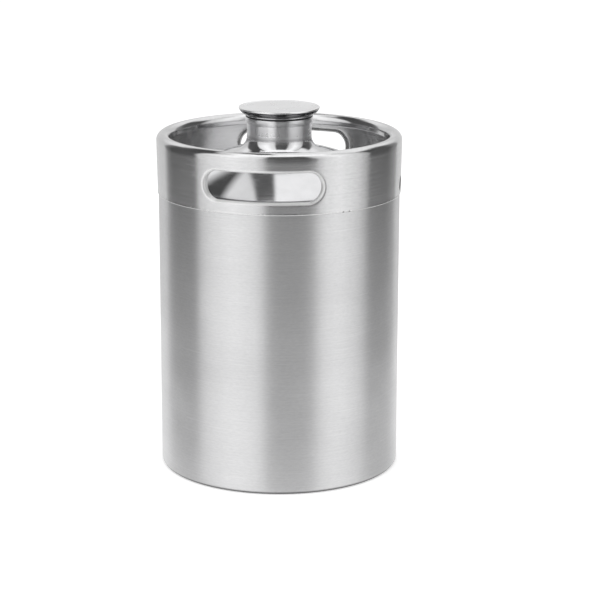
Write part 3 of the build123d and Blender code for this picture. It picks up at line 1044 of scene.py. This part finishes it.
def make_collar():
    """The collar is laid out flat, pierced, rolled over at its rim, and then bent into a ring."""
    quarter = collar_length / 4
    middle = -quarter / 2
    piece = start_piece(
        "collar",
        bpy.ops.mesh.primitive_grid_add,
        x_subdivisions=wall_columns,
        y_subdivisions=wall_rows,
        size=1,
        rotation=(pi / 2, 0, 0),
    )
    edit()
    bpy.ops.mesh.select_all(action="SELECT")
    bpy.ops.transform.resize(value=(collar_length, 1, roll_centre - collar_foot))
    bpy.ops.transform.translate(value=(middle, 0, (roll_centre + collar_foot) / 2))
    for place in (0, -2 * quarter):
        cut_slot(piece, place)
    for place in (quarter, -quarter):
        cut_drain(piece, place)
    # The wall leans out a little, and its top edge rolls in and ends in a hem.
    flare = rim_radius - collar_foot_radius
    bpy.ops.mesh.select_all(action="SELECT")
    bpy.ops.transform.rotate(
        value=-atan2(flare, roll_centre - collar_foot), orient_axis="X", center_override=(0, 0, collar_foot)
    )
    roll = roll_width / 2
    pick_points(piece, lambda p: p.z > roll_centre - 5 * slack)
    bpy.ops.mesh.spin(
        steps=roll_steps, angle=pi, center=(0, roll - flare, roll_centre), axis=(1, 0, 0)
    )
    bpy.ops.mesh.extrude_region_move(TRANSFORM_OT_translate={"value": (0, 0, -roll_leg)})
    hem_middle = 2 * roll - flare - hem_radius
    bpy.ops.mesh.spin(
        steps=hem_steps, angle=pi, center=(0, hem_middle, roll_centre - roll_leg), axis=(1, 0, 0)
    )
    bpy.ops.mesh.extrude_region_move(TRANSFORM_OT_translate={"value": (0, 0, hem_return)})
    leave()
    # The flat strip is bent once round, so that its ends meet away from the slots and the drains.
    apply_modifier(piece, "SIMPLE_DEFORM", deform_method="BEND", deform_axis="Z", angle=2 * pi)
    edit()
    bpy.ops.mesh.select_all(action="SELECT")
    bpy.ops.transform.translate(value=(0, -collar_foot_radius, 0))
    bpy.ops.mesh.remove_doubles(threshold=slack / 2)
    bpy.ops.mesh.normals_make_consistent(inside=False)
    pick_faces(piece, lambda p: p.z < collar_foot + 2 * row_height and p.y < 0 and abs(p.x) < 2 * mm)
    mesh = bmesh.from_edit_mesh(piece.data)
    if any(face.select and face.normal.y > 0 for face in mesh.faces):
        bpy.ops.mesh.select_all(action="SELECT")
        bpy.ops.mesh.flip_normals()
    leave()
    thicken(piece, sheet)
    dress(piece, "carrying_collar", "keg", "satin_steel", collar_finish_and_painted_light)


def make_collar_weld():
    """The bead between barrel and collar, which bulges a little."""
    bead = Template("bead", barrel_radius, barrel_top)
    bead.bow(collar_foot_radius, collar_foot, bead_bulge, 8)
    bead.line(collar_foot_radius - bead_width, collar_foot, cuts=2)
    bead.line(barrel_radius - sheet, barrel_top, cuts=2)
    bead.line(barrel_radius, barrel_top)
    piece = bead.turned()
    dress(piece, "collar_weld", "keg", "weld_steel", weld_finish)


make_collar()
make_collar_weld()


# Floor, light and camera ----------------------------------------------------------------------

camera_lens = 130.01
camera_distance = 1.5965
camera_target = 0.12076
camera_tilt = 14.581
camera_azimuth = 8.1
camera_shift = 0.03465
camera_sensor = 36
lamp_aim = Vector((0, 0, 0.1))
room_light = 0.75
overhead_light = (1.5, 1.5, 1.5)
ceiling_dark = (0.08, 0.08, 0.08)
floor_glow = 0.45
floor_size = 60


def make_camera():
    data = bpy.data.cameras.new("camera")
    data.lens = camera_lens
    data.sensor_width = camera_sensor
    data.shift_x = camera_shift
    camera = bpy.data.objects.new("camera", data)
    bpy.context.scene.collection.objects.link(camera)
    turn = radians(camera_azimuth)
    tilt = radians(camera_tilt)
    level = camera_distance * cos(tilt)
    camera.location = (level * sin(turn), -level * cos(turn), camera_target + camera_distance * sin(tilt))
    camera.rotation_euler = (pi / 2 - tilt, 0, turn)
    bpy.context.scene.camera = camera


def make_lamp(name, place, size, power):
    """A square soft lamp that points at the keg."""
    data = bpy.data.lights.new(name, "AREA")
    data.shape = "SQUARE"
    data.size = size
    data.energy = power
    lamp = bpy.data.objects.new(name, data)
    bpy.context.scene.collection.objects.link(lamp)
    lamp.location = place
    lamp.rotation_euler = (lamp_aim - Vector(place)).to_track_quat("-Z", "Y").to_euler()
    lamp.visible_glossy = False
    lamp.visible_camera = False


# What the metal mirrors, from the left behind the camera round to the right: degrees and brightness.
level_bands = (
    (-180, 0.74),
    (-136, 0.74),
    (-126, 0.2),
    (-118, 0.1),
    (-86, 0.11),
    (-79, 0.85),
    (-63, 1.05),
    (-46, 1.2),
    (-23, 1.05),
    (-17, 0.8),
    (-9, 0.22),
    (0, 0.15),
    (26, 0.15),
    (33, 0.3),
    (38, 0.75),
    (45, 1.02),
    (58, 1.16),
    (69, 1.02),
    (78, 0.88),
    (88, 0.58),
    (95, 0.12),
    (120, 0.11),
    (138, 0.3),
    (146, 0.74),
    (180, 0.74),
)
high_bands = (
    (-180, 1.1),
    (-140, 1.05),
    (-130, 0.12),
    (-86, 0.08),
    (-79, 1.1),
    (-50, 1.4),
    (-20, 1.0),
    (-10, 0.12),
    (28, 0.1),
    (40, 0.95),
    (60, 1.35),
    (86, 0.9),
    (95, 0.08),
    (132, 0.12),
    (142, 1.05),
    (180, 1.1),
)
overhead_bands = (
    (-180, 1.0),
    (-33, 0.95),
    (-27, 0.12),
    (-8, 0.12),
    (-3, 1.15),
    (180, 1.15),
)


def bands(tree, turn, stages):
    """A run of panels: the brightness at each stage of a full turn."""
    ramp = add_node(tree, "ShaderNodeValToRGB", {"Fac": turn})
    ramp.color_ramp.interpolation = "EASE"
    stops = ramp.color_ramp.elements
    while len(stops) > 1:
        stops.remove(stops[-1])
    for index, (degrees, level) in enumerate(stages):
        place = (degrees + 180) / 360
        stop = stops[0] if index == 0 else stops.new(place)
        stop.position = place
        stop.color = (level, level, level, 1)
    return ramp.outputs["Color"]


def mix_shaders(tree, share, first, second):
    return add_node(
        tree, "ShaderNodeMixShader", {0: share, 1: first.outputs[0], 2: second.outputs[0]}
    )


def make_world():
    """White behind the keg. What its metal mirrors is a studio of tall white and dark panels."""
    world = bpy.data.worlds.new("studio")
    bpy.context.scene.world = world
    world.use_nodes = True
    tree = world.node_tree
    tree.nodes.clear()
    place = tree.nodes.new("ShaderNodeTexCoord").outputs["Generated"]
    turned = add_node(
        tree, "ShaderNodeMapping", {"Vector": place, "Rotation": (0, 0, -radians(camera_azimuth))}
    ).outputs[0]
    parts = add_node(tree, "ShaderNodeSeparateXYZ", {"Vector": turned})
    across, away, up = parts.outputs["X"], parts.outputs["Y"], parts.outputs["Z"]
    azimuth = calculate(tree, "ARCTAN2", across, calculate(tree, "MULTIPLY", away, -1.0))
    turn = spread(tree, azimuth, -pi, pi, 0.0, 1.0)
    low_panels = bands(tree, turn, level_bands)
    high_panels = bands(tree, turn, high_bands)
    slanted = calculate(tree, "MULTIPLY_ADD", away, -0.6, calculate(tree, "ADD", across, 0.3))
    ceiling = bands(tree, spread(tree, across, -1.0, 1.0, 0.0, 1.0), overhead_bands)
    lit = spread(tree, slanted, -0.32, -0.25, 0.0, 1.0)
    ceiling = blend_colours(tree, lit, ceiling_dark, ceiling)
    steep = spread(tree, up, 0.6, 0.72, 0.0, 1.0)
    behind = calculate(tree, "MULTIPLY", steep, spread(tree, away, 0.0, 0.08, 0.0, 1.0))
    overhead = spread(tree, up, 0.88, 0.93, 0.0, 1.0)
    above = calculate(tree, "MULTIPLY", overhead, spread(tree, away, 0.16, 0.1, 0.0, 1.0))
    panels = blend_colours(tree, spread(tree, up, 0.28, 0.5, 0.0, 1.0), low_panels, high_panels)
    panels = blend_colours(tree, behind, panels, ceiling)
    panels = blend_colours(tree, above, panels, overhead_light)
    rays = tree.nodes.new("ShaderNodeLightPath")
    mirrored = add_node(tree, "ShaderNodeBackground", {"Color": panels, "Strength": 1.0})
    plain = add_node(tree, "ShaderNodeBackground", {"Color": (1, 1, 1, 1), "Strength": room_light})
    white = add_node(tree, "ShaderNodeBackground", {"Color": (1, 1, 1, 1), "Strength": 1.0})
    glossy = mix_shaders(tree, rays.outputs["Is Glossy Ray"], plain, mirrored)
    seen = mix_shaders(tree, rays.outputs["Is Camera Ray"], glossy, white)
    output = tree.nodes.new("ShaderNodeOutputWorld")
    tree.links.new(seen.outputs[0], output.inputs["Surface"])


def floor_material():
    """White to the camera, apart from the keg's shadow. Metal mirrors it only near the keg."""
    material = bpy.data.materials.new("floor")
    material.use_nodes = True
    tree = material.node_tree
    tree.nodes.clear()
    place = tree.nodes.new("ShaderNodeTexCoord").outputs["Object"]
    rays = tree.nodes.new("ShaderNodeLightPath")
    matt = add_node(tree, "ShaderNodeBsdfDiffuse", {"Color": (0.82, 0.82, 0.82, 1)})
    glow = add_node(tree, "ShaderNodeEmission", {"Color": (1, 1, 1, 1), "Strength": floor_glow})
    lit = add_node(tree, "ShaderNodeAddShader", {0: matt.outputs[0], 1: glow.outputs[0]})
    away = add_node(tree, "ShaderNodeVectorMath", {0: place}, operation="LENGTH").outputs["Value"]
    far = spread(tree, away, 0.1, 0.95, 0.2, 1.0)
    open_share = calculate(tree, "MULTIPLY", far, rays.outputs["Is Glossy Ray"])
    clear = tree.nodes.new("ShaderNodeBsdfTransparent")
    mixed = mix_shaders(tree, open_share, lit, clear)
    output = tree.nodes.new("ShaderNodeOutputMaterial")
    tree.links.new(mixed.outputs[0], output.inputs["Surface"])
    return material


def make_floor():
    floor = start_piece("floor", bpy.ops.mesh.primitive_plane_add, size=floor_size)
    floor.data.materials.append(floor_material())


make_floor()
make_world()
make_camera()
make_lamp("key", (-0.9, -0.7, 1.7), 1.3, 9)
make_lamp("fill", (1.2, -0.3, 1.5), 1.3, 5)
bpy.context.scene.view_settings.view_transform = "Standard"
